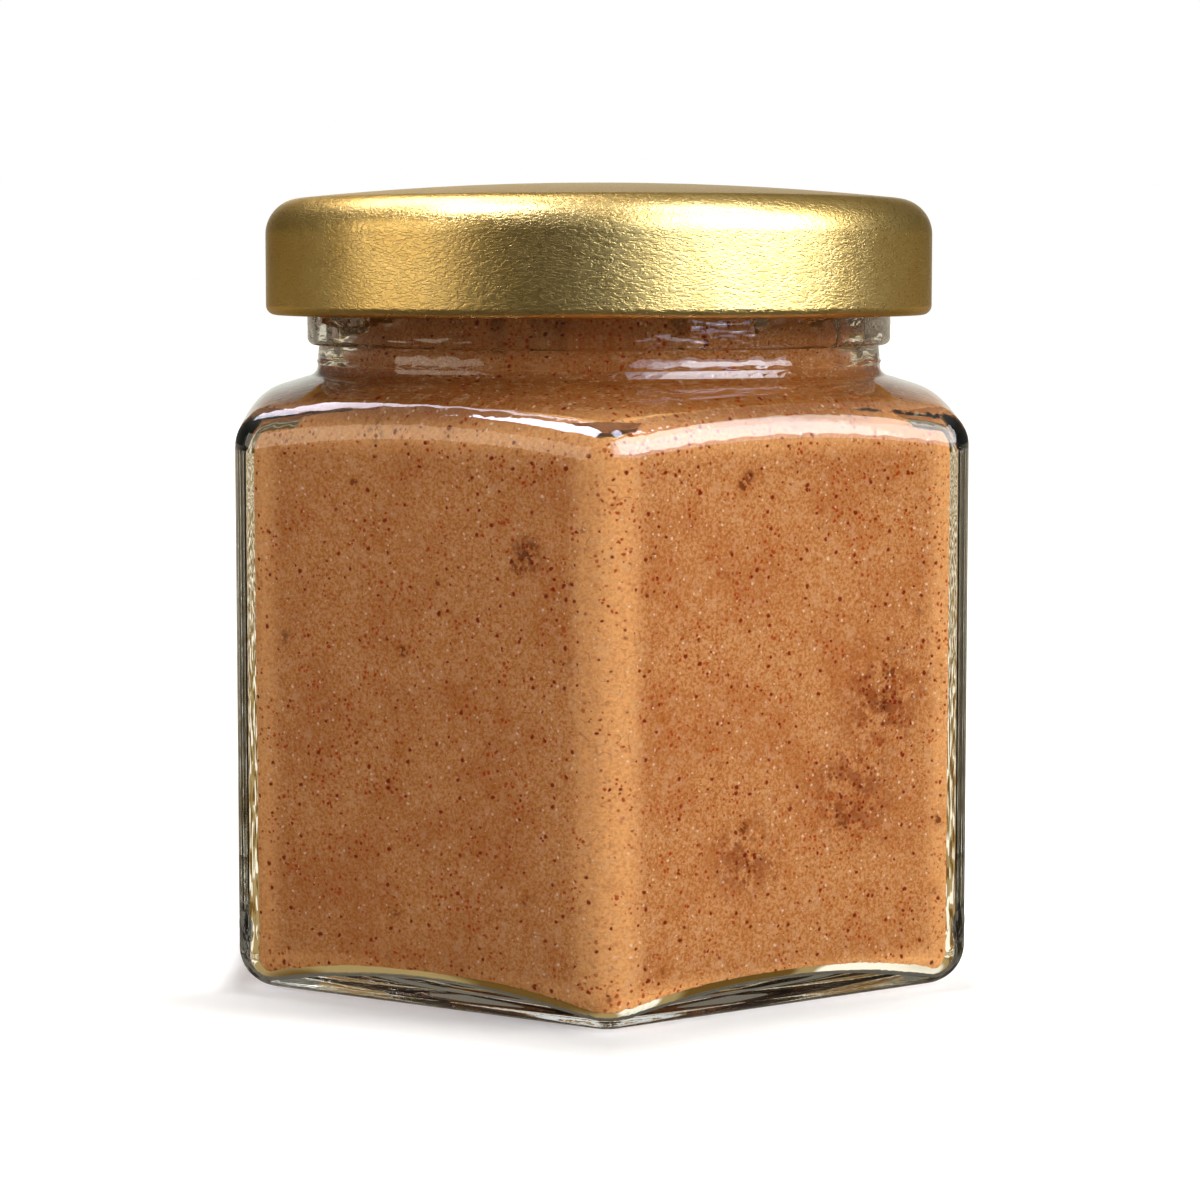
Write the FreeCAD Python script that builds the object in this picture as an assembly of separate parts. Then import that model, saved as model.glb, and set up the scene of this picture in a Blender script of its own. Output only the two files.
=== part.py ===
import FreeCAD, Part
import math
import os
from FreeCAD import Vector

# Small hexagonal honey jar with a four-lug twist-off lid, filled with creamed honey.
# Millimetres. +Z is up, z = 0 is the bearing ring of the base, and the jar's axis is Z.
# One vertical corner of the hexagon points to -Y, and two flat faces meet there.

# Glass body
SIDES = 6
HALF_FLATS = 29.3  # half of the width across two flat faces
CORNER_RADIUS = 3.9
HEEL_RADIUS = 3.2
SHOULDER_EDGE_RADIUS = 3.6
SHOULDER_SLOPE = 17.0  # degrees below level, falling away from the neck
WALL = 1.6
INNER_CORNER_RADIUS = 2.2

# Glass base: the floor rises to the middle, and so does the push-up under it
FLOOR_CENTRE = 5.9
FLOOR_DOME_RADIUS = 106.0
FLOOR_EDGE_RADIUS = 1.2
PUSH_UP_RADIUS = 23.0
PUSH_UP_HEIGHT = 2.3

# Neck
NECK_BASE = 48.95  # where the neck's line and the shoulder's line would meet
NECK_BASE_RADIUS = 23.62
NECK_FILLET = 1.0
BORE_RADIUS = 21.4
BORE_FILLET = 2.2
SHOULDER_WALL = 2.0
INNER_SHOULDER_RADIUS = 2.0
SEAM_HEIGHT = 49.95  # mould line between the ring that forms the finish and the body mould
SEAM_HALF_WIDTH = 0.22
SEAM_PROUD = 0.12

# Finish: the glass that the lid grips
FINISH_BASE = 51.3
FINISH_RADIUS = 24.47
FINISH_STEP_RADIUS = 0.6
FINISH_TOP_RADIUS = 1.1

# Glass threads, four starts, each climbing to the right as seen from outside
STARTS = 4
THREAD_LOW_AZIMUTH = 30.0  # degrees from the front corner, towards +X
THREAD_SPAN = 76.0
THREAD_LOW_HEIGHT = 53.7  # middle of the ridge at its low end
THREAD_RISE = 3.3
THREAD_ROOT_WIDTH = 2.0
THREAD_CREST_WIDTH = 0.9
THREAD_CREST_RADIUS = 25.9
THREAD_ROOT_RADIUS = FINISH_RADIUS - 0.4  # sunk into the finish, so that they fuse

# Corner pads: lens-shaped swellings near both ends of each vertical corner
TOP_PAD_WIDTH_RADIUS = 3.1  # level curvature of the swelling
TOP_PAD_HEIGHT_RADIUS = 3.1  # upright curvature of the swelling
TOP_PAD_PROUD = 0.07
TOP_PAD_HEIGHT = 43.57
LOW_PAD_WIDTH_RADIUS = 2.8
LOW_PAD_HEIGHT_RADIUS = 6.0
LOW_PAD_PROUD = 0.12
LOW_PAD_HEIGHT = 5.2

# Lid, pressed from tinplate, with its edge rolled inwards and squeezed into four lugs
LID_TOP = 64.75
LID_RADIUS = 27.9
LID_EDGE_RADIUS = 3.0
LID_EDGE_HEIGHT = 60.45  # centre of the rounding between the panel and the skirt
LID_SHEET = 0.2
CURL_RADIUS = 0.8
CURL_HEIGHT = 54.6
LUG_INNER_RADIUS = 25.05
LUG_SPAN = 18.0
LUG_THICKNESS = 0.6

# Contents
FILL_LEVEL = 60.0

SHOULDER_ZONE = (42.0, 49.0)  # heights that hold the shoulder's edges, outside and inside
BASE_ZONE = (-1.0, 5.0)  # heights that hold the heel and the floor's edge
FAR = 60.0  # beyond every surface of the jar
FULL_TURN = 360.0
ORIGIN = Vector(0, 0, 0)
UP = Vector(0, 0, 1)


def compass(azimuth):
    """Unit vector at an azimuth in degrees from the front corner, -Y, towards +X."""
    angle = math.radians(azimuth - 90.0)
    return Vector(math.cos(angle), math.sin(angle), 0)


def flat_point(radius, height):
    """A point of a turned profile, in the XZ plane."""
    return Vector(radius, 0, height)


def line(start, end):
    return Part.LineSegment(flat_point(*start), flat_point(*end)).toShape()


def arc(centre, radius, start, end):
    """Arc of a turned profile about (radius, height), angles in degrees from +X to +Z."""
    points = []
    for angle in (start, (start + end) / 2, end):
        turn = math.radians(angle)
        points.append(
            flat_point(centre[0] + radius * math.cos(turn), centre[1] + radius * math.sin(turn))
        )
    return Part.Arc(*points).toShape()


def joined(edges):
    """The edges with straight ones added in the gaps between them, as a closed face."""
    closed = []
    for edge, following in zip(edges, edges[1:] + edges[:1]):
        closed.append(edge)
        end = edge.valueAt(edge.LastParameter)
        start = following.valueAt(following.FirstParameter)
        if end.distanceToPoint(start) > 1e-6:
            closed.append(Part.LineSegment(end, start).toShape())
    return Part.Face(Part.Wire(closed))


def turned(edges, angle=FULL_TURN):
    """A solid turned about Z from a profile given in order round its outline."""
    return joined(edges).revolve(ORIGIN, UP, angle)


def rounded_hexagon(half_flats, corner_radius, height):
    """A face with six straight sides joined by tangent arcs, one corner towards -Y."""
    half_step = FULL_TURN / SIDES / 2
    arc_centre = (half_flats - corner_radius) / math.cos(math.radians(half_step))
    edges = []
    for k in range(SIDES):
        corner = 2 * half_step * k
        centre = compass(corner) * arc_centre + UP * height
        points = [
            centre + compass(corner + turn) * corner_radius for turn in (-half_step, 0, half_step)
        ]
        edges.append(Part.Arc(*points).toShape())
    return joined(edges)


def prism(half_flats, corner_radius, low, high):
    """An upright hexagonal prism with rounded corners."""
    return rounded_hexagon(half_flats, corner_radius, low).extrude(UP * (high - low))


def edges_within(shape, zone):
    """The edges that run round the jar between the two heights of a zone."""
    found = []
    for edge in shape.Edges:
        box = edge.BoundBox
        if zone[0] < box.ZMin and box.ZMax < zone[1]:
            found.append(edge)
    return found


def shoulder_height(radius):
    """Height of the shoulder's straight slope at a distance from the axis."""
    return NECK_BASE - (radius - NECK_BASE_RADIUS) * math.tan(math.radians(SHOULDER_SLOPE))


def below_shoulder(drop):
    """A tall cone-topped block whose top lies a given drop below the shoulder's slope."""
    return turned(
        [
            line((0, -1), (FAR, -1)),
            line((FAR, shoulder_height(FAR) - drop), (0, shoulder_height(0) - drop)),
        ]
    )


def outer_body():
    """The hexagonal body under its sloping shoulder, with rounded shoulder edge and heel."""
    body = prism(HALF_FLATS, CORNER_RADIUS, 0, FAR).common(below_shoulder(0))
    body = body.makeFillet(SHOULDER_EDGE_RADIUS, edges_within(body, SHOULDER_ZONE))
    return body.makeFillet(HEEL_RADIUS, edges_within(body, BASE_ZONE))


def spindle(width_radius, height_radius):
    """A pointed oval body on the Z axis, curved by one radius about it and one along it."""
    tip = math.degrees(math.acos(1 - width_radius / height_radius))
    return turned([arc((width_radius - height_radius, 0), height_radius, -tip, tip)])


def corner_pads():
    """Swellings that stand just proud of each vertical corner, high and low."""
    half_step = math.radians(FULL_TURN / SIDES / 2)
    arc_centre = (HALF_FLATS - CORNER_RADIUS) / math.cos(half_step)
    reach = arc_centre + CORNER_RADIUS
    pads = []
    for k in range(SIDES):
        outwards = compass(FULL_TURN / SIDES * k)
        for width_radius, height_radius, proud, height in (
            (TOP_PAD_WIDTH_RADIUS, TOP_PAD_HEIGHT_RADIUS, TOP_PAD_PROUD, TOP_PAD_HEIGHT),
            (LOW_PAD_WIDTH_RADIUS, LOW_PAD_HEIGHT_RADIUS, LOW_PAD_PROUD, LOW_PAD_HEIGHT),
        ):
            pad = spindle(width_radius, height_radius)
            pad.translate(outwards * (reach + proud - width_radius) + UP * height)
            pads.append(pad)
    return pads


def dome_radius():
    """Radius of the lid's panel, a dome tangent to the rounding at its edge."""
    across = LID_RADIUS - LID_EDGE_RADIUS
    down = LID_TOP - LID_EDGE_HEIGHT
    return (across**2 + down**2 - LID_EDGE_RADIUS**2) / (2 * (down - LID_EDGE_RADIUS))


def finish_top():
    """Height of the finish, whose rounded outer edge is tangent to the lid's inner face."""
    dome = dome_radius()
    reach = dome - LID_SHEET - FINISH_TOP_RADIUS
    across = FINISH_RADIUS - FINISH_TOP_RADIUS
    return LID_TOP - dome + math.sqrt(reach**2 - across**2) + FINISH_TOP_RADIUS


def neck_and_finish():
    """The turned neck, its mould line, the wider finish above it and the foot of the neck."""
    slope = math.radians(SHOULDER_SLOPE)
    fillet_reach = NECK_FILLET * math.tan((math.pi / 2 - slope) / 2)
    fillet_centre = (NECK_BASE_RADIUS + NECK_FILLET, NECK_BASE + fillet_reach)
    step_centre = (FINISH_RADIUS - FINISH_STEP_RADIUS, FINISH_BASE + FINISH_STEP_RADIUS)
    top = finish_top()
    top_centre = (FINISH_RADIUS - FINISH_TOP_RADIUS, top - FINISH_TOP_RADIUS)
    inner_centre = (BORE_RADIUS + FINISH_TOP_RADIUS, top - FINISH_TOP_RADIUS)
    buried = NECK_BASE - SHOULDER_WALL
    return turned(
        [
            line((0, buried), (NECK_BASE_RADIUS, buried)),
            arc(fillet_centre, NECK_FILLET, 270 - SHOULDER_SLOPE, 180),
            line(
                (NECK_BASE_RADIUS, SEAM_HEIGHT - SEAM_HALF_WIDTH),
                (NECK_BASE_RADIUS + SEAM_PROUD, SEAM_HEIGHT),
            ),
            line(
                (NECK_BASE_RADIUS, SEAM_HEIGHT + SEAM_HALF_WIDTH),
                (NECK_BASE_RADIUS - SEAM_PROUD, FINISH_BASE),
            ),
            arc(step_centre, FINISH_STEP_RADIUS, 270, 360),
            arc(top_centre, FINISH_TOP_RADIUS, 0, 90),
            arc(inner_centre, FINISH_TOP_RADIUS, 90, 180),
            line((BORE_RADIUS, FINISH_BASE), (0, FINISH_BASE)),
        ]
    )


def flank_slope():
    """How fast a thread's half width shrinks outwards, in mm a mm."""
    depth = THREAD_CREST_RADIUS - THREAD_ROOT_RADIUS
    return (THREAD_ROOT_WIDTH - THREAD_CREST_WIDTH) / 2 / depth


def thread_half_width(radius):
    return THREAD_ROOT_WIDTH / 2 - (radius - THREAD_ROOT_RADIUS) * flank_slope()


def thread_outline(low):
    """A thread's section at the front, from a low side to its upper flank."""
    points = []
    for radius, side in (
        (THREAD_ROOT_RADIUS, low),
        (THREAD_CREST_RADIUS, low),
        (THREAD_CREST_RADIUS, 1),
        (THREAD_ROOT_RADIUS, 1),
        (THREAD_ROOT_RADIUS, low),
    ):
        height = Vector(0, 0, side * thread_half_width(radius))
        points.append(compass(0) * radius + height)
    return Part.makePolygon(points)


def glass_thread():
    """One helical ridge with rounded ends, its low end at the front corner's azimuth."""
    pitch = THREAD_RISE * FULL_TURN / THREAD_SPAN
    helix = Part.makeHelix(pitch, THREAD_RISE, FINISH_RADIUS)
    helix.rotate(ORIGIN, UP, -90)
    ridge = Part.Wire(helix).makePipeShell([thread_outline(-1)], True, True)
    low_nose = Part.Face(thread_outline(0)).revolve(ORIGIN, compass(0), FULL_TURN)
    high_nose = low_nose.copy()
    high_nose.rotate(ORIGIN, UP, THREAD_SPAN)
    high_nose.translate(UP * THREAD_RISE)
    return [ridge, low_nose, high_nose]


def glass_threads():
    """The ridges of all starts, at their place on the finish."""
    ridges = []
    for k in range(STARTS):
        for piece in glass_thread():
            piece.rotate(ORIGIN, UP, THREAD_LOW_AZIMUTH + FULL_TURN / STARTS * k)
            piece.translate(UP * THREAD_LOW_HEIGHT)
            ridges.append(piece)
    return ridges


def floor_dome():
    """Everything above the domed glass floor."""
    edge = FLOOR_CENTRE - FLOOR_DOME_RADIUS + math.sqrt(FLOOR_DOME_RADIUS**2 - FAR**2)
    tilt = math.degrees(math.asin(FAR / FLOOR_DOME_RADIUS))
    return turned(
        [
            line((0, 2 * FAR), (0, FLOOR_CENTRE)),
            arc((0, FLOOR_CENTRE - FLOOR_DOME_RADIUS), FLOOR_DOME_RADIUS, 90, 90 - tilt),
            line((FAR, edge), (FAR, 2 * FAR)),
        ]
    )


def inner_body():
    """The hexagonal part of the inside, with its floor and shoulder edges rounded."""
    half_flats = HALF_FLATS - WALL
    space = prism(half_flats, INNER_CORNER_RADIUS, 0, FAR)
    space = space.common(below_shoulder(SHOULDER_WALL))
    space = space.common(floor_dome())
    space = space.makeFillet(INNER_SHOULDER_RADIUS, edges_within(space, SHOULDER_ZONE))
    return space.makeFillet(FLOOR_EDGE_RADIUS, edges_within(space, BASE_ZONE))


def bore():
    """The inside of the neck, flaring into the shoulder below it."""
    slope = math.radians(SHOULDER_SLOPE)
    meeting = shoulder_height(BORE_RADIUS) - SHOULDER_WALL
    reach = BORE_FILLET * math.tan((math.pi / 2 - slope) / 2)
    flare_centre = (BORE_RADIUS + BORE_FILLET, meeting + reach)
    foot = meeting - BORE_FILLET
    return turned(
        [
            line((0, foot), (BORE_RADIUS, foot)),
            arc(flare_centre, BORE_FILLET, 270 - SHOULDER_SLOPE, 180),
            line((BORE_RADIUS, FAR + BORE_RADIUS), (0, FAR + BORE_RADIUS)),
        ]
    )


def inside():
    """All the space that the glass shuts in, open at the top."""
    return inner_body().fuse(bore()).removeSplitter()


def push_up():
    """The shallow dome pressed into the underside of the base."""
    radius = (PUSH_UP_RADIUS**2 + PUSH_UP_HEIGHT**2) / (2 * PUSH_UP_HEIGHT)
    ball = Part.makeSphere(radius, UP * (PUSH_UP_HEIGHT - radius))
    slab = Part.makeCylinder(PUSH_UP_RADIUS, 2 * PUSH_UP_HEIGHT, UP * -PUSH_UP_HEIGHT)
    return ball.common(slab)


def make_jar():
    glass = outer_body().fuse(corner_pads() + [neck_and_finish()] + glass_threads())
    return glass.cut([inside(), push_up()]).removeSplitter()


def make_honey():
    """The honey fills the inside up to its level."""
    below = Part.makeCylinder(FAR, FILL_LEVEL)
    return inside().common(below)


def lid_profile():
    """The pressed sheet from the middle of the panel to the end of the curl, and back."""
    dome = dome_radius()
    dome_centre = (0, LID_TOP - dome)
    edge_centre = (LID_RADIUS - LID_EDGE_RADIUS, LID_EDGE_HEIGHT)
    tilt = math.degrees(math.asin(edge_centre[0] / (dome - LID_EDGE_RADIUS)))
    curl_centre = (LID_RADIUS - CURL_RADIUS, CURL_HEIGHT)
    inner_edge = LID_EDGE_RADIUS - LID_SHEET
    inner_curl = CURL_RADIUS - LID_SHEET
    return [
        arc(dome_centre, dome, 90, 90 - tilt),
        arc(edge_centre, LID_EDGE_RADIUS, 90 - tilt, 0),
        line((LID_RADIUS, LID_EDGE_HEIGHT), (LID_RADIUS, CURL_HEIGHT)),
        arc(curl_centre, CURL_RADIUS, 0, -270),
        arc(curl_centre, inner_curl, -270, 0),
        line((LID_RADIUS - LID_SHEET, CURL_HEIGHT), (LID_RADIUS - LID_SHEET, LID_EDGE_HEIGHT)),
        arc(edge_centre, inner_edge, 0, 90 - tilt),
        arc(dome_centre, dome - LID_SHEET, 90 - tilt, 90),
    ]


def lug_low():
    """Height of a lug's underside: it grows from the curl's own lower face."""
    return CURL_HEIGHT - CURL_RADIUS + LID_SHEET


def lug_azimuth():
    """Middle of a lug whose lower-thread side touches the flank of the glass thread above it."""
    tip = LUG_THICKNESS / 2
    flank = math.atan(flank_slope())
    touching = lug_low() + LUG_THICKNESS - tip + tip / math.cos(flank)
    climb = touching + thread_half_width(LUG_INNER_RADIUS + tip) - THREAD_LOW_HEIGHT
    return THREAD_LOW_AZIMUTH + THREAD_SPAN * climb / THREAD_RISE + LUG_SPAN / 2


def lug():
    """One lug squeezed inwards from the curl, at the front corner's azimuth."""
    low = lug_low()
    tip = LUG_THICKNESS / 2
    root = LID_RADIUS - 2 * CURL_RADIUS + LID_SHEET / 2
    rounding = (LUG_INNER_RADIUS + tip, low + tip)
    block = turned(
        [
            line((root, low + LUG_THICKNESS), (rounding[0], low + LUG_THICKNESS)),
            arc(rounding, tip, 90, 270),
            line((rounding[0], low), (root, low)),
        ],
        LUG_SPAN,
    )
    block.rotate(ORIGIN, UP, -90 - LUG_SPAN / 2)
    return block


def make_lid():
    lugs = []
    for k in range(STARTS):
        piece = lug()
        piece.rotate(ORIGIN, UP, lug_azimuth() + FULL_TURN / STARTS * k)
        lugs.append(piece)
    return turned(lid_profile()).fuse(lugs).removeSplitter()


def main():
    os.makedirs("parts", exist_ok=True)
    for name, make in (("jar", make_jar), ("honey", make_honey), ("lid", make_lid)):
        shape = make()
        shape.exportStep("parts/" + name + ".step")
        print(name, "volume %.0f mm3" % shape.Volume, "valid", shape.isValid())


main()
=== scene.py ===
import math

import bpy
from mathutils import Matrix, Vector


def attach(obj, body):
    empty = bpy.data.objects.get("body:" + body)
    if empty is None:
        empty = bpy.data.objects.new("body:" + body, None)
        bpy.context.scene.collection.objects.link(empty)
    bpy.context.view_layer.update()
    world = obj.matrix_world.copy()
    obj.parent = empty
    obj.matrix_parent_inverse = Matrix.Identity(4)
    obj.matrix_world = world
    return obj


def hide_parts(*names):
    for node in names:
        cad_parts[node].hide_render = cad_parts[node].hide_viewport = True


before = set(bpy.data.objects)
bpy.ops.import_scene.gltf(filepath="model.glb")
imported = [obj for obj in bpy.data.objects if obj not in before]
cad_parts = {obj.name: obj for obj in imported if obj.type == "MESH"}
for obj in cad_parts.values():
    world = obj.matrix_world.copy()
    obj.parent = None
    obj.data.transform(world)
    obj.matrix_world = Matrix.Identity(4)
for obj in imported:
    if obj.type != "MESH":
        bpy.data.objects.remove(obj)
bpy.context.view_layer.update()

# Metres in the part's own frame: Z is the jar's axis, z = 0 is the table, one corner faces -Y.
MM = 0.001

GLASS_IOR = 1.52
AIR_FILM_IOR = 1 / GLASS_IOR  # a thin film of air between glass and honey
WETTED_FILM_IOR = 0.84  # the same film under the shoulder, where honey was squeezed into it

LID_RADIUS = 27.9 * MM
LID_TOP = 64.75 * MM
LID_EDGE_RADIUS = 3.0 * MM
LID_EDGE_HEIGHT = 60.45 * MM
LID_SHEET = 0.2 * MM
CURL_RADIUS = 0.8 * MM
CURL_HEIGHT = 54.6 * MM
LUGS = 4
LUG_INNER = 25.05 * MM
LUG_THICKNESS = 0.6 * MM
LUG_SPAN = 18.0  # degrees
LUG_AZIMUTH = 74.2  # degrees from -Y towards +X, of the first lug's middle
HONEY_INTO_WALL = 0.07 * MM  # how far the honey reaches into the glass, so no air gap shows

# Zones of height in mm: where each starts, is whole, starts to fade and has ended.
WRINKLED_SHOULDER = (43.2, 44.6, 47.6, 48.6)
RIPPLED_RING = (50.9, 51.5, 54.2, 55.0)
# painted light on the honey's rim under the shoulder's edge, where the glass gathers light
PAINTED_RIM_LIGHT = (42.6, 44.8, 45.4, 46.6)
# painted shade on the honey's shoulder and neck, under the lid
PAINTED_SHOULDER_SHADE = (44.8, 46.2, 49.0, 50.5)
WETTED_SHOULDER = (44.6, 45.8, 49.0, 50.0)
KNURL_TOP = (0.5, 1.4)  # where the knurled bearing edge starts to fade and has ended
PAINTED_FOOT_LIGHT = (4.2, 2.6)  # where the painted light on the honey's foot starts, going down, and is whole
PAINTED_CORNER_LIGHT = (30.5, 31.35)  # mm from the jar's axis: where the painted light at its corners starts, is whole

# Cinnamon stains: the middle, and the radii where each is whole and has ended, in mm.
PATCHES = (
    ((21.3, -19.0, 23.7), 0.5, 6.5),
    ((18.8, -20.4, 16.5), 0.5, 6.0),
    ((10.2, -25.4, 12.5), 0.5, 4.5),
    ((-5.4, -28.2, 36.1), 0.3, 2.2),
)
# Clumps of ground bark: the middle and the size, in mm.
CLUMPS = (
    ((-5.4, -28.2, 36.1), 1.3),
    ((-6.3, -27.8, 35.3), 0.8),
    ((-24.5, -17.2, 28.7), 0.8),
    ((-17.1, -21.4, 44.8), 0.8),
    ((-2.4, -29.9, 28.3), 0.7),
    ((18.0, -20.9, 14.5), 0.9),
    ((21.3, -19.0, 23.7), 1.0),
    ((24.3, -17.3, 30.6), 0.7),
)
CLUMP_CORE = 0.2  # of a clump's size, the radius where it is whole
CLUMP_REACH = 1.5  # of a clump's size, the radius where it has ended

# The contact shadow, in mm from the jar's axis across its flats: where it is deepest and ends.
SHADOW_BEFORE = (28.5, 44.0)
SHADOW_BEHIND = (29.0, 32.0)
SHADOW_TURNS = (-26, -8)  # mm along Y: from here to here, the one before becomes the one behind
HEXAGON_FACINGS = (30, 90, 150)  # degrees from +Y, one for each pair of opposite flats

# How far a direction points along +Y, straight behind the jar: where each starts and is whole.
BACKDROP = (0.92, 0.995)
BACKDROP_THROUGH_GLASS = (0.955, 0.99)
BEFORE_TO_BESIDE = (-0.9, 0.1)
BACKDROP_LEVEL = 0.92
# How far a direction points up: where the ceiling starts and is whole. It is bright where it
# is mirrored, and dim through the glass.
CEILING = (0.45, 0.85)
CEILING_THROUGH_GLASS = (0.15, 0.55)
CEILING_GAIN = 3.5

# Each lamp's azimuth and elevation in degrees; its distance, width and height in metres; its
# watts, colour and gain; and whether it only shines on what is glossy: the glass, and the
# lid's skirt and rounded edge.
LAMPS = {
    "key": (58, 28, 0.60, 0.547, 0.425, 4.6, (0.94, 0.97, 0.97), 0.2, False),
    "fill": (-72, 14, 0.70, 0.45, 0.36, 0.3, (1.0, 0.76, 0.46), 1.0, False),
    "window_shine": (44.5, 28, 0.60, 0.547, 0.425, 2.6, (0.86, 0.98, 1.14), 10.0, True),
    "skirt_shine": (46, 18, 0.60, 0.78, 0.36, 2.0, (0.76, 0.98, 1.36), 0.2, True),
    "fill_shine": (-69, 14, 0.70, 0.54, 0.36, 1.05, (1.0, 0.96, 0.80), 0.2, True),
    "edge_shine_right": (52, 62, 0.60, 0.22, 0.20, 1.5, (0.90, 1.0, 1.35), 0.2, True),
    "edge_shine_left": (-65, 62, 0.60, 0.18, 0.20, 2.2, (0.90, 1.0, 1.35), 0.2, True),
    "edge_shine_back": (-136, 58, 0.60, 0.30, 0.30, 2.0, (1.0, 1.0, 1.2), 0.2, True),
    "overhead": (0, 85, 0.80, 0.60, 0.60, 0.2, (1.0, 1.0, 1.0), 1.0, False),
}
LAMPS_AIM = (0, 0, 35 * MM)  # about the middle of the jar

CAMERA_PLACE = (-5.55 * MM, -264.9 * MM, 57.59 * MM)
CAMERA_DOWN = 4.61  # degrees below the level
CAMERA_TURN = -1.2  # degrees about Z

MAX_BOUNCES = 20  # the glass guides light round its corners by many total reflections
GLASS_BOUNCES = 16


def linear(code):
    """An sRGB hex colour as linear RGBA."""
    out = []
    for k in (0, 2, 4):
        c = int(code[k : k + 2], 16) / 255
        out.append(c / 12.92 if c <= 0.04045 else ((c + 0.055) / 1.055) ** 2.4)
    return (*out, 1.0)


# ---------------------------------------------------------------- materials


def new_material(name):
    mat = bpy.data.materials.new(name)
    mat.use_nodes = True
    mat.node_tree.nodes.clear()
    return mat


def add(mat, kind, inputs=None, **settings):
    """Adds one node. An input's value is a number, a colour, or the socket that feeds it."""
    tree = mat.node_tree
    node = tree.nodes.new("ShaderNode" + kind)
    for key, value in settings.items():
        setattr(node, key, value)
    for key, value in (inputs or {}).items():
        if isinstance(value, bpy.types.NodeSocket):
            tree.links.new(value, node.inputs[key])
        else:
            node.inputs[key].default_value = value
    return node


def math_of(mat, operation, a, b=0.0):
    return add(mat, "Math", {0: a, 1: b}, operation=operation).outputs[0]


def times(mat, a, b):
    return math_of(mat, "MULTIPLY", a, b)


def mapped(mat, value, low, high, start=0.0, end=1.0, smooth=True):
    """Maps low..high to start..end, and holds the ends beyond."""
    node = add(
        mat,
        "MapRange",
        {"Value": value, "From Min": low, "From Max": high, "To Min": start, "To Max": end},
        interpolation_type="SMOOTHSTEP" if smooth else "LINEAR",
    )
    return node.outputs["Result"]


def between(mat, height, zone):
    """A mask of one of the zones of height above."""
    start, whole, fading, end = (level * MM for level in zone)
    return times(
        mat, mapped(mat, height, start, whole), mapped(mat, height, fading, end, 1.0, 0.0)
    )


def from_mm(mat, value, span, start=0.0, end=1.0):
    """Maps a pair of lengths in mm to start..end."""
    return mapped(mat, value, span[0] * MM, span[1] * MM, start, end)


def blended(mat, factor, a, b):
    """Colour a where the factor is 0, and colour b where it is 1."""
    node = add(mat, "Mix", data_type="RGBA")
    for socket, value in ((0, factor), (6, a), (7, b)):
        if isinstance(value, bpy.types.NodeSocket):
            mat.node_tree.links.new(value, node.inputs[socket])
        else:
            node.inputs[socket].default_value = value
    return node.outputs[2]


def noise(mat, point, size, detail=2.0, rough=0.5):
    """Noise whose features are about a size in mm across."""
    node = add(
        mat,
        "TexNoise",
        {"Vector": point, "Scale": 1 / (size * MM), "Detail": detail, "Roughness": rough},
    )
    return node.outputs["Fac"]


def ridged(mat, point, size, detail, rough=0.5):
    """How far the noise is from its middle level: 0 along thin winding lines."""
    centred = math_of(mat, "SUBTRACT", noise(mat, point, size, detail, rough), 0.5)
    return math_of(mat, "ABSOLUTE", centred)


def stretched(mat, point, scale, turn=0.0):
    """The coordinates scaled, and turned about Z, so that noise on them is stretched."""
    node = add(
        mat, "Mapping", {"Vector": point, "Rotation": (0.0, 0.0, turn), "Scale": scale}
    )
    return node.outputs["Vector"]


def finish_material(mat, surface):
    add(mat, "OutputMaterial", {"Surface": surface})
    return mat


def clear_glass():
    """Flint glass moulded and fire-polished: water-clear and sharply glossy, with flow waves
    that bend the edges seen through it. Lamps shine straight through it."""
    mat = new_material("flint_glass_moulded")
    point = add(mat, "TexCoord").outputs["Object"]
    height = add(mat, "SeparateXYZ", {0: point}).outputs["Z"]
    relief = times(mat, noise(mat, point, 5, detail=1.0), 0.10)
    # slanted wrinkles where the glass ran over the shoulder's edge
    slanted = stretched(mat, point, (1.0, 1.0, 0.28), turn=0.3)
    wrinkle = noise(mat, slanted, 1.1)
    at_shoulder = between(mat, height, WRINKLED_SHOULDER)
    # the knurled bearing edge
    stipple = noise(mat, point, 0.5, detail=1.0)
    at_heel = from_mm(mat, height, KNURL_TOP, 1.0, 0.0)
    # level ripples on the ring under the lid
    ripple = noise(mat, stretched(mat, point, (0.22, 0.22, 1.0)), 0.9)
    at_ring = between(mat, height, RIPPLED_RING)
    for texture, where, depth in (
        (wrinkle, at_shoulder, 0.10),
        (stipple, at_heel, 0.10),
        (ripple, at_ring, 0.7),
    ):
        raised = times(mat, times(mat, texture, where), depth)
        relief = math_of(mat, "ADD", relief, raised)
    bump = add(mat, "Bump", {"Height": relief, "Strength": 0.6, "Distance": 0.3 * MM})
    glass = add(
        mat,
        "BsdfPrincipled",
        {
            "Base Color": linear("f7faf8"),
            "Roughness": 0.0,
            "IOR": GLASS_IOR,
            "Transmission Weight": 1.0,
            "Normal": bump.outputs["Normal"],
        },
    )
    through = add(mat, "BsdfTransparent", {"Color": (0.96, 0.965, 0.96, 1.0)})
    path = add(mat, "LightPath")
    both = add(
        mat,
        "MixShader",
        {0: path.outputs["Is Shadow Ray"], 1: glass.outputs[0], 2: through.outputs[0]},
    )
    return finish_material(mat, both.outputs[0])


def speckles(mat, point, cell, smallest, largest, share):
    """A mask of ragged specks, one in a share of the cells, with sizes in mm."""
    near = add(mat, "TexVoronoi", {"Vector": point, "Scale": 1 / (cell * MM)}, feature="F1")
    pick = add(mat, "SeparateColor", {0: near.outputs["Color"]})
    size = mapped(
        mat, pick.outputs[1], 0.0, 1.0, smallest / 2 / cell, largest / 2 / cell, smooth=False
    )
    chosen = math_of(mat, "LESS_THAN", pick.outputs[0], share)
    inside = math_of(mat, "DIVIDE", near.outputs["Distance"], size)
    return times(mat, mapped(mat, inside, 1.25, 0.6), chosen)


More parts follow.
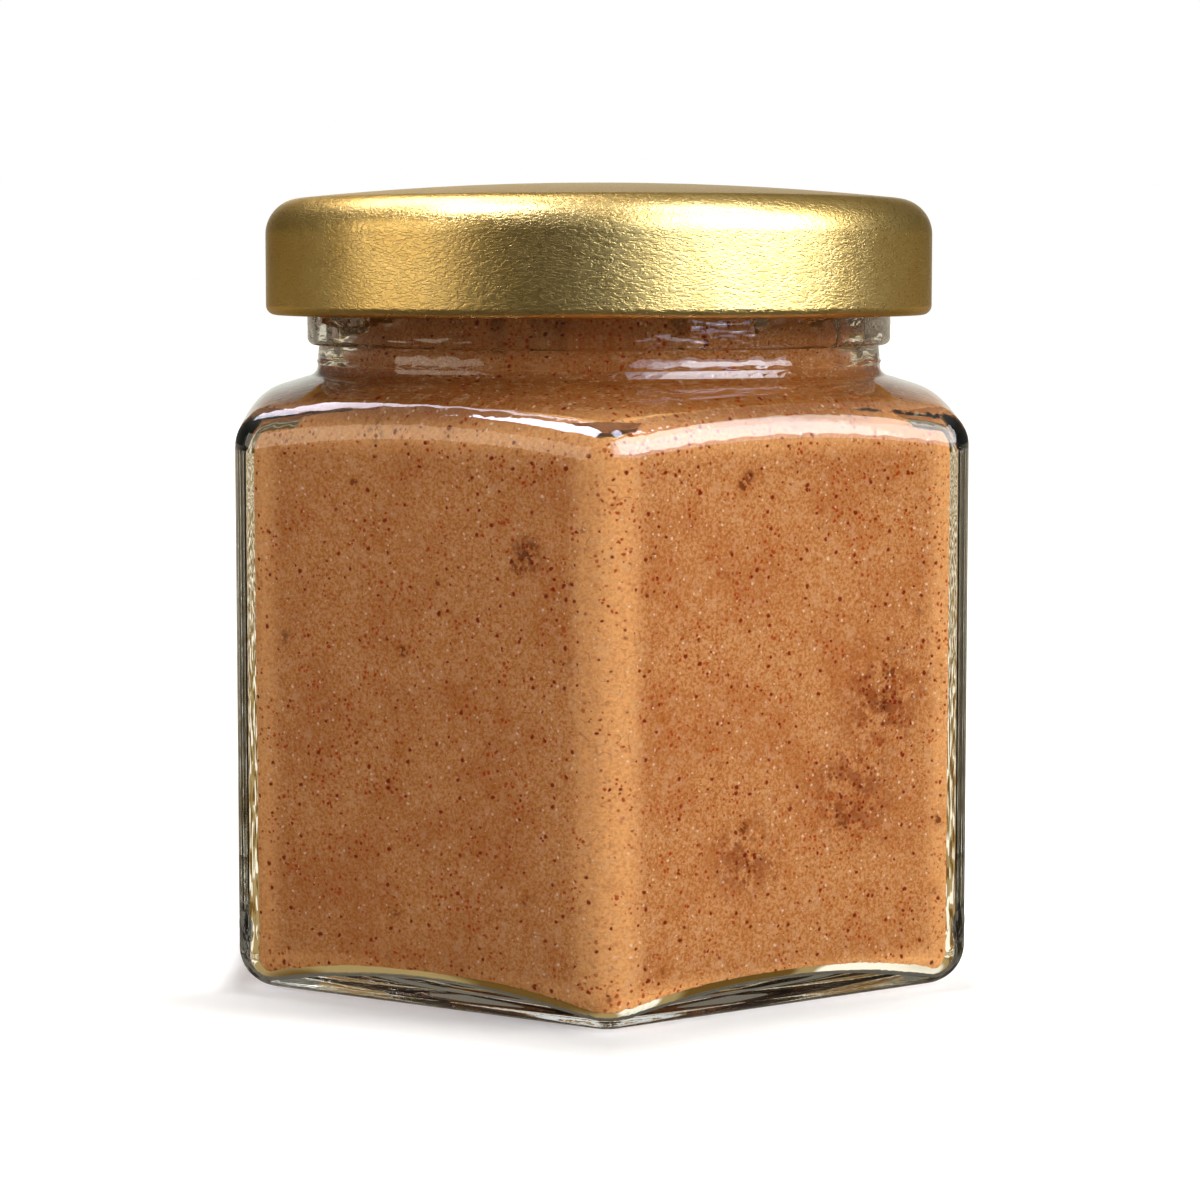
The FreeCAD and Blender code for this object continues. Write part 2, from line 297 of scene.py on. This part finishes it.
def spot(mat, point, centre, inner, outer):
    """1 inside a ball about a point, fading to 0 at the outer radius, all in mm."""
    middle = Vector(centre) * MM
    away = add(mat, "VectorMath", {0: point, 1: middle}, operation="DISTANCE")
    return from_mm(mat, away.outputs["Value"], (inner, outer), 1.0, 0.0)


def ragged(mat, point, size, reach):
    """The coordinates pushed about by up to a reach, so that round things turn ragged."""
    wander = add(mat, "TexNoise", {"Vector": point, "Scale": 1 / (size * MM), "Detail": 2.0})
    centred = add(
        mat,
        "VectorMath",
        {0: wander.outputs["Color"], 1: (0.5, 0.5, 0.5)},
        operation="SUBTRACT",
    )
    push = add(
        mat, "VectorMath", {0: centred.outputs[0], "Scale": 2 * reach * MM}, operation="SCALE"
    )
    return add(mat, "VectorMath", {0: point, 1: push.outputs[0]}, operation="ADD").outputs[0]


def highest(mat, values):
    top = values[0]
    for value in values[1:]:
        top = math_of(mat, "MAXIMUM", top, value)
    return top


def creamed_honey():
    """Fine-crystalled honey stirred with ground cinnamon: matt, mottled, with dark bark specks."""
    mat = new_material("creamed_honey_with_cinnamon")
    point = add(mat, "TexCoord").outputs["Object"]
    split = add(mat, "SeparateXYZ", {0: point})
    height = split.outputs["Z"]
    flat = add(mat, "CombineXYZ", {0: split.outputs["X"], 1: split.outputs["Y"]}).outputs[0]
    radius = add(mat, "VectorMath", {0: flat}, operation="LENGTH").outputs["Value"]
    stirred = ragged(mat, point, size=0.5, reach=0.16)

    def tinted(colour, mask, amount, code):
        return blended(mat, times(mat, mask, amount), colour, linear(code))

    # fine crystals in darker liquid honey, clouded where it was stirred
    grain = noise(mat, stirred, 0.24, detail=3.0, rough=0.7)
    cloud = noise(mat, point, 6, detail=3.0, rough=0.6)
    colour = blended(mat, mapped(mat, grain, 0.36, 0.64), linear("c07236"), linear("e0a068"))
    colour = tinted(colour, mapped(mat, cloud, 0.42, 0.66), 0.42, "b4622c")
    # painted light: paler where the glass corners and edges gather light on it
    corner = from_mm(mat, radius, PAINTED_CORNER_LIGHT)
    rim = between(mat, height, PAINTED_RIM_LIGHT)
    foot = from_mm(mat, height, PAINTED_FOOT_LIGHT)
    grained = mapped(mat, grain, 0.35, 0.65, 0.6, 1.0)
    painted_light = times(mat, highest(mat, [corner, rim, foot]), grained)
    colour = tinted(colour, painted_light, 0.85, "fcb674")
    # painted shade: darker and browner over the shoulder and neck, under the lid
    colour = tinted(colour, between(mat, height, PAINTED_SHOULDER_SHADE), 0.62, "8c4c16")
    # pale crystal mottling about a millimetre across
    mottle = mapped(mat, noise(mat, stirred, 0.9, detail=3.0, rough=0.7), 0.52, 0.66)
    colour = tinted(colour, mottle, 0.35, "eab484")
    # stained patches, streaked, and small single stains
    patch = highest(mat, [spot(mat, stirred, *place) for place in PATCHES])
    streaks = mapped(mat, noise(mat, stirred, 1.3, detail=3.0, rough=0.7), 0.42, 0.56)
    colour = tinted(colour, times(mat, patch, streaks), 0.75, "8c3c14")
    stains = speckles(mat, stirred, cell=3.2, smallest=0.8, largest=2.2, share=0.5)
    colour = tinted(colour, stains, 0.25, "b8661e")
    # thin curls of bark skin, here and there
    curl = mapped(mat, ridged(mat, stirred, 1.5, detail=1.0), 0.022, 0.008)
    here = mapped(mat, noise(mat, point, 2.2, detail=1.0), 0.56, 0.62)
    colour = tinted(colour, times(mat, curl, here), 0.35, "98461a")
    # orange dust, gathered in loose clouds
    crowd = mapped(mat, noise(mat, point, 3), 0.42, 0.60, 0.25, 1.0)
    dust = speckles(mat, stirred, cell=0.42, smallest=0.14, largest=0.34, share=0.75)
    colour = tinted(colour, times(mat, dust, crowd), 0.90, "b03a04")
    # single pale crystals
    crystals = speckles(mat, stirred, cell=0.60, smallest=0.10, largest=0.26, share=0.6)
    colour = tinted(colour, crystals, 0.70, "f8dcbc")
    # dark bark: specks everywhere, more of them in the patches, then loose chips and clumps
    bark = speckles(mat, stirred, cell=0.80, smallest=0.18, largest=0.42, share=0.62)
    colour = tinted(colour, bark, 0.95, "821e02")
    flecks = speckles(mat, stirred, cell=0.50, smallest=0.18, largest=0.42, share=0.65)
    colour = tinted(colour, times(mat, flecks, patch), 0.95, "7a1e02")
    crumbs = mapped(mat, noise(mat, stirred, 0.45), 0.45, 0.55)
    chips = speckles(mat, stirred, cell=3.2, smallest=0.5, largest=1.2, share=0.30)
    colour = tinted(colour, times(mat, chips, crumbs), 0.85, "702a0c")
    clumps = [
        spot(mat, stirred, centre, CLUMP_CORE * size, CLUMP_REACH * size)
        for centre, size in CLUMPS
    ]
    colour = tinted(colour, times(mat, highest(mat, clumps), crumbs), 0.95, "541c08")

    body = add(
        mat,
        "BsdfPrincipled",
        {"Base Color": colour, "Roughness": 0.7, "Specular IOR Level": 0.0},
    )
    # beyond the critical angle the air film mirrors everything, and below it almost nothing;
    # under the shoulder the honey was squeezed against the glass, so it mirrors only aslant
    film = add(mat, "BsdfGlossy", {"Color": (1, 1, 1, 1), "Roughness": 0.0})
    wetted = between(mat, height, WETTED_SHOULDER)
    film_ior = mapped(mat, wetted, 0.0, 1.0, AIR_FILM_IOR, WETTED_FILM_IOR)
    fresnel = add(mat, "Fresnel", {"IOR": film_ior}).outputs[0]
    filmed = mapped(mat, fresnel, 0.12, 0.9)
    both = add(mat, "MixShader", {0: filmed, 1: body.outputs[0], 2: film.outputs[0]})
    return finish_material(mat, both.outputs[0])


def gold_tinplate():
    """Tinplate under a thin gold lacquer, stoved and pressed: satin, with a fine crackle."""
    mat = new_material("gold_lacquered_tinplate")
    point = add(mat, "TexCoord").outputs["Object"]
    # the lacquer's fine folds, drawn level by the press, and its orange peel
    drawn = stretched(mat, point, (0.6, 0.6, 1.5))
    crackle = mapped(mat, ridged(mat, drawn, 0.55, detail=3.0, rough=0.6), 0.0, 0.10)
    peel = noise(mat, point, 0.35, detail=3.0, rough=0.6)
    relief = math_of(mat, "ADD", times(mat, crackle, 0.55), times(mat, peel, 0.45))
    bump = add(mat, "Bump", {"Height": relief, "Strength": 0.8, "Distance": 0.03 * MM})
    tone = mapped(mat, noise(mat, point, 3), 0.3, 0.7)
    metal = add(
        mat,
        "BsdfPrincipled",
        {
            "Base Color": blended(mat, tone, linear("cba862"), linear("d2b06c")),
            "Metallic": 1.0,
            "Roughness": mapped(mat, peel, 0.3, 0.7, 0.27, 0.34),
            "Specular Tint": linear("d8b878"),
            "Coat Weight": 0.3,
            "Coat Roughness": 0.25,
            "Normal": bump.outputs["Normal"],
        },
    )
    return finish_material(mat, metal.outputs[0])


def studio_floor():
    """White seamless paper, matt. It glows to white where it is seen, and less near the jar's
    foot, so that only the contact shadow shows."""
    mat = new_material("seamless_paper")
    point = add(mat, "TexCoord").outputs["Object"]
    fibre = noise(mat, point, 2)
    paper = add(
        mat,
        "BsdfDiffuse",
        {"Color": blended(mat, fibre, linear("ece9e6"), linear("f0eeec"))},
    )
    away = add(mat, "VectorMath", {0: point}, operation="LENGTH").outputs["Value"]
    depth = add(mat, "SeparateXYZ", {0: point}).outputs["Y"]
    sides = []
    for facing in HEXAGON_FACINGS:
        turn = math.radians(facing)
        across = (math.sin(turn), math.cos(turn), 0)
        reach = add(mat, "VectorMath", {0: point, 1: across}, operation="DOT_PRODUCT")
        sides.append(math_of(mat, "ABSOLUTE", reach.outputs["Value"]))
    before = from_mm(mat, highest(mat, sides), SHADOW_BEFORE, 0.04, 0.88)
    beyond = from_mm(mat, highest(mat, sides), SHADOW_BEHIND, 0.30, 0.97)
    behind = from_mm(mat, depth, SHADOW_TURNS)
    glowing = math_of(
        mat,
        "ADD",
        add(mat, "Mix", {0: behind, 2: before, 3: beyond}).outputs[0],
        mapped(mat, away, 0.10, 0.45, 0.0, 0.12),
    )
    glow = add(mat, "Emission", {"Color": linear("ffffff"), "Strength": glowing})
    lit = add(mat, "AddShader", {0: paper.outputs[0], 1: glow.outputs[0]})
    # mirrored in the glass and the lid it is warm, and brighter behind the jar
    mirrored = add(
        mat,
        "Emission",
        {"Color": (0.84, 0.76, 0.60, 1), "Strength": mapped(mat, depth, -0.05, 0.25, 0.12, 0.62)},
    )
    # through the base it shows in lenses of brown, tan and cream
    lenses = noise(mat, point, 16, detail=1.0)
    gathered = blended(mat, mapped(mat, lenses, 0.42, 0.48), linear("5e4212"), linear("9a8254"))
    gathered = blended(mat, mapped(mat, lenses, 0.54, 0.58), gathered, linear("f4ebd6"))
    refracted = add(mat, "Emission", {"Color": gathered, "Strength": 1.35})
    path = add(mat, "LightPath")
    shown = paper
    for kind, surface in (
        ("Is Camera Ray", lit),
        ("Is Glossy Ray", mirrored),
        ("Is Transmission Ray", refracted),
    ):
        shown = add(
            mat,
            "MixShader",
            {0: path.outputs[kind], 1: shown.outputs[0], 2: surface.outputs[0]},
        )
    return finish_material(mat, shown.outputs[0])


# ---------------------------------------------------------------- modelling


def only(obj):
    bpy.ops.object.select_all(action="DESELECT")
    obj.select_set(True)
    bpy.context.view_layer.objects.active = obj


def edit_all(obj):
    only(obj)
    bpy.ops.object.mode_set(mode="EDIT")
    bpy.ops.mesh.select_all(action="SELECT")


def leave_edit():
    bpy.ops.object.mode_set(mode="OBJECT")


def merged_copy(node, name):
    """A copy of a node's mesh as a new piece, its doubled points merged."""
    source = bpy.data.objects[node]
    obj = bpy.data.objects.new(name, source.data.copy())
    bpy.context.scene.collection.objects.link(obj)
    obj.matrix_world = source.matrix_world
    only(obj)
    bpy.ops.object.transform_apply(location=True, rotation=True, scale=True)
    edit_all(obj)
    bpy.ops.mesh.remove_doubles(threshold=0.002 * MM)
    bpy.ops.mesh.normals_make_consistent(inside=False)
    leave_edit()
    obj.data.materials.clear()
    return obj


def smooth(obj, angle):
    """Smooth shading up to an angle, flat faces kept flat."""
    only(obj)
    bpy.ops.object.shade_smooth_by_angle(angle=math.radians(angle))
    bpy.ops.object.modifier_add(type="WEIGHTED_NORMAL")
    obj.modifiers[-1].keep_sharp = True
    bpy.ops.object.modifier_apply(modifier=obj.modifiers[-1].name)


def arc_points(centre, radius, start, end, steps):
    """Points of an arc in (radius, height), angles in degrees from outwards to upwards."""
    points = []
    for k in range(steps + 1):
        turn = math.radians(start + (end - start) * k / steps)
        points.append((centre[0] + radius * math.cos(turn), centre[1] + radius * math.sin(turn)))
    return points


def turned(name, profile, steps, span=360.0, middle=0.0):
    """A piece spun round the jar's axis from a profile of (radius, height) points. The span
    and the azimuth of its middle are in degrees; the azimuth runs from -Y towards +X."""
    turn = math.radians(middle - 90 + span / 2)  # the spin turns clockwise, seen from above
    across = Vector((math.cos(turn), math.sin(turn), 0))
    first = across * profile[0][0] + Vector((0, 0, profile[0][1]))
    bpy.ops.object.select_all(action="DESELECT")
    bpy.ops.mesh.primitive_plane_add(size=MM, location=(0, 0, 0))
    obj = bpy.context.object
    obj.name = name
    bpy.ops.object.mode_set(mode="EDIT")
    bpy.ops.mesh.select_all(action="SELECT")
    bpy.ops.mesh.merge(type="CENTER")
    bpy.ops.transform.translate(value=first)
    for (r0, z0), (r1, z1) in zip(profile, profile[1:]):
        move = across * (r1 - r0) + Vector((0, 0, z1 - z0))
        bpy.ops.mesh.extrude_vertices_move(TRANSFORM_OT_translate={"value": move})
    bpy.ops.mesh.select_all(action="SELECT")
    if span < 360:
        bpy.ops.mesh.edge_face_add()
    bpy.ops.mesh.spin(
        steps=steps,
        angle=math.radians(span),
        center=(0, 0, 0),
        axis=(0, 0, 1),
        use_auto_merge=False,
    )
    bpy.ops.mesh.select_all(action="SELECT")
    bpy.ops.mesh.remove_doubles(threshold=0.001 * MM)
    bpy.ops.mesh.normals_make_consistent(inside=False)
    leave_edit()
    return obj


def lid_profile():
    """Outer face of the pressed sheet from the middle to the curl's end, and back inside. The
    domed panel runs tangent into the rounded edge."""
    across = LID_RADIUS - LID_EDGE_RADIUS
    down = LID_TOP - LID_EDGE_HEIGHT
    dome = (across**2 + down**2 - LID_EDGE_RADIUS**2) / (2 * (down - LID_EDGE_RADIUS))
    tilt = math.degrees(math.asin(across / (dome - LID_EDGE_RADIUS)))
    panel = (0.0, LID_TOP - dome)
    edge = (across, LID_EDGE_HEIGHT)
    curl = (LID_RADIUS - CURL_RADIUS, CURL_HEIGHT)
    outer = arc_points(panel, dome, 90, 90 - tilt, steps=10)
    outer += arc_points(edge, LID_EDGE_RADIUS, 90 - tilt, 0, steps=14)[1:]
    outer += arc_points(curl, CURL_RADIUS, 0, -270, steps=22)
    inner = arc_points(curl, CURL_RADIUS - LID_SHEET, -270, 0, steps=16)
    inner += arc_points(edge, LID_EDGE_RADIUS - LID_SHEET, 0, 90 - tilt, steps=10)
    inner += arc_points(panel, dome - LID_SHEET, 90 - tilt, 90, steps=8)[1:]
    return outer + inner


def lug_profile():
    """A lug squeezed in from the curl, flat with a round tip."""
    tip = LUG_THICKNESS / 2
    low = CURL_HEIGHT - CURL_RADIUS + LID_SHEET
    root = LID_RADIUS - 2 * CURL_RADIUS + LID_SHEET / 2
    points = [(root, low + LUG_THICKNESS)]
    points += arc_points((LUG_INNER + tip, low + tip), tip, 90, 270, steps=8)
    return points + [(root, low)]


def joined(objects, name):
    only(objects[0])
    for obj in objects[1:]:
        obj.select_set(True)
    bpy.ops.object.join()
    objects[0].name = name
    return objects[0]


def ship(obj, node, material):
    obj.data.materials.clear()
    obj.data.materials.append(material)
    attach(obj, "root")
    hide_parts(node)


glass = merged_copy("jar", "jar_glass")
smooth(glass, angle=40)
ship(glass, "jar", clear_glass())

honey = merged_copy("honey", "honey_fill")
edit_all(honey)
bpy.ops.transform.shrink_fatten(value=HONEY_INTO_WALL)
leave_edit()
smooth(honey, angle=40)
ship(honey, "honey", creamed_honey())

parts = [turned("lid_shell", lid_profile(), steps=160)]
for k in range(LUGS):
    azimuth = LUG_AZIMUTH + 360 / LUGS * k
    parts.append(turned("lug", lug_profile(), steps=10, span=LUG_SPAN, middle=azimuth))
lid = joined(parts, "lid_shell")
smooth(lid, angle=35)
ship(lid, "lid", gold_tinplate())

# ---------------------------------------------------------------- stage

bpy.ops.object.select_all(action="DESELECT")
bpy.ops.mesh.primitive_plane_add(size=6.0, location=(0, 0, 0))
floor = bpy.context.object
floor.name = "paper_floor"
floor.data.materials.append(studio_floor())

world = bpy.data.worlds.new("studio")
bpy.context.scene.world = world
world.use_nodes = True
world.node_tree.nodes.clear()
path = add(world, "LightPath")
towards = add(world, "TexCoord").outputs["Generated"]
axes = add(world, "SeparateXYZ", {0: towards})
depth = axes.outputs["Y"]
rise = axes.outputs["Z"]


def surroundings(side, front):
    """What glossy surfaces mirror: bright behind the jar, dimmer beside and before it, and
    brighter overhead."""
    level = times(
        world,
        mapped(world, depth, *BACKDROP, side, BACKDROP_LEVEL),
        mapped(world, depth, *BEFORE_TO_BESIDE, front, 1.0),
    )
    return times(world, level, mapped(world, rise, *CEILING, 1.0, CEILING_GAIN))


def background(strength, colour=(1, 1, 1, 1)):
    return add(world, "Background", {"Color": colour, "Strength": strength}).outputs[0]


def through_glass():
    """What the glass gathers: brown, tan and cream in upright bands, and white straight behind."""
    upright = add(world, "Mapping", {"Vector": towards, "Scale": (1.0, 1.0, 0.35)}).outputs[0]
    bands = add(
        world, "TexNoise", {"Vector": upright, "Scale": 2.6, "Detail": 2.0}
    ).outputs["Fac"]
    shade = mapped(world, bands, 0.44, 0.50)
    light = mapped(world, bands, 0.53, 0.58)
    colour = blended(world, shade, linear("6a4a14"), linear("987e4a"))
    colour = blended(world, light, colour, linear("f2ead6"))
    white = mapped(world, depth, *BACKDROP_THROUGH_GLASS)
    return blended(world, white, colour, linear("f6f6f6"))


# matt surfaces get a dim warm light from all round, and the camera sees plain white
shown = background(0.15, (1.0, 0.80, 0.58, 1))
for kind, strength, colour in (
    ("Is Glossy Ray", surroundings(side=0.14, front=0.45), (0.97, 1.0, 0.91, 1)),
    (
        "Is Transmission Ray",
        mapped(world, rise, *CEILING_THROUGH_GLASS, 0.9, 0.35),
        through_glass(),
    ),
    ("Is Camera Ray", 1.0, (1, 1, 1, 1)),
):
    shown = add(
        world,
        "MixShader",
        {0: path.outputs[kind], 1: shown, 2: background(strength, colour)},
    ).outputs[0]
add(world, "OutputWorld", {"Surface": shown})


def softbox(name, azimuth, elevation, distance, width, height, power, colour, gain, gloss_only):
    """A rectangular lamp aimed at the jar, its azimuth from -Y towards +X. The gain is how many
    times brighter it is to glossy surfaces than to matt ones."""
    a, e = math.radians(azimuth), math.radians(elevation)
    away = Vector((math.sin(a) * math.cos(e), -math.cos(a) * math.cos(e), math.sin(e)))
    lamp = bpy.data.lights.new(name, "AREA")
    lamp.shape = "RECTANGLE"
    lamp.size, lamp.size_y = width, height
    lamp.energy = power
    lamp.color = colour
    lamp.use_nodes = True
    glossy = add(lamp, "LightPath").outputs["Is Glossy Ray"]
    level = add(lamp, "Math", {0: glossy, 1: gain - 1, 2: 1.0}, operation="MULTIPLY_ADD")
    strength = lamp.node_tree.nodes["Emission"].inputs["Strength"]
    lamp.node_tree.links.new(level.outputs[0], strength)
    obj = bpy.data.objects.new(name, lamp)
    bpy.context.scene.collection.objects.link(obj)
    obj.location = Vector(LAMPS_AIM) + away * distance
    obj.rotation_euler = away.to_track_quat("Z", "Y").to_euler()
    obj.visible_diffuse = not gloss_only
    obj.visible_transmission = not gloss_only


for name, settings in LAMPS.items():
    softbox(name, *settings)

lens = bpy.data.cameras.new("camera")
lens.lens = 94.1
lens.sensor_width = 36
lens.shift_x = 0.001
lens.shift_y = -0.065
camera = bpy.data.objects.new("camera", lens)
bpy.context.scene.collection.objects.link(camera)
camera.location = CAMERA_PLACE
camera.rotation_euler = (math.radians(90 - CAMERA_DOWN), 0, math.radians(CAMERA_TURN))
bpy.context.scene.camera = camera

bpy.context.scene.view_settings.view_transform = "Standard"
light_paths = bpy.context.scene.cycles
light_paths.max_bounces = MAX_BOUNCES
light_paths.glossy_bounces = GLASS_BOUNCES
light_paths.transmission_bounces = GLASS_BOUNCES
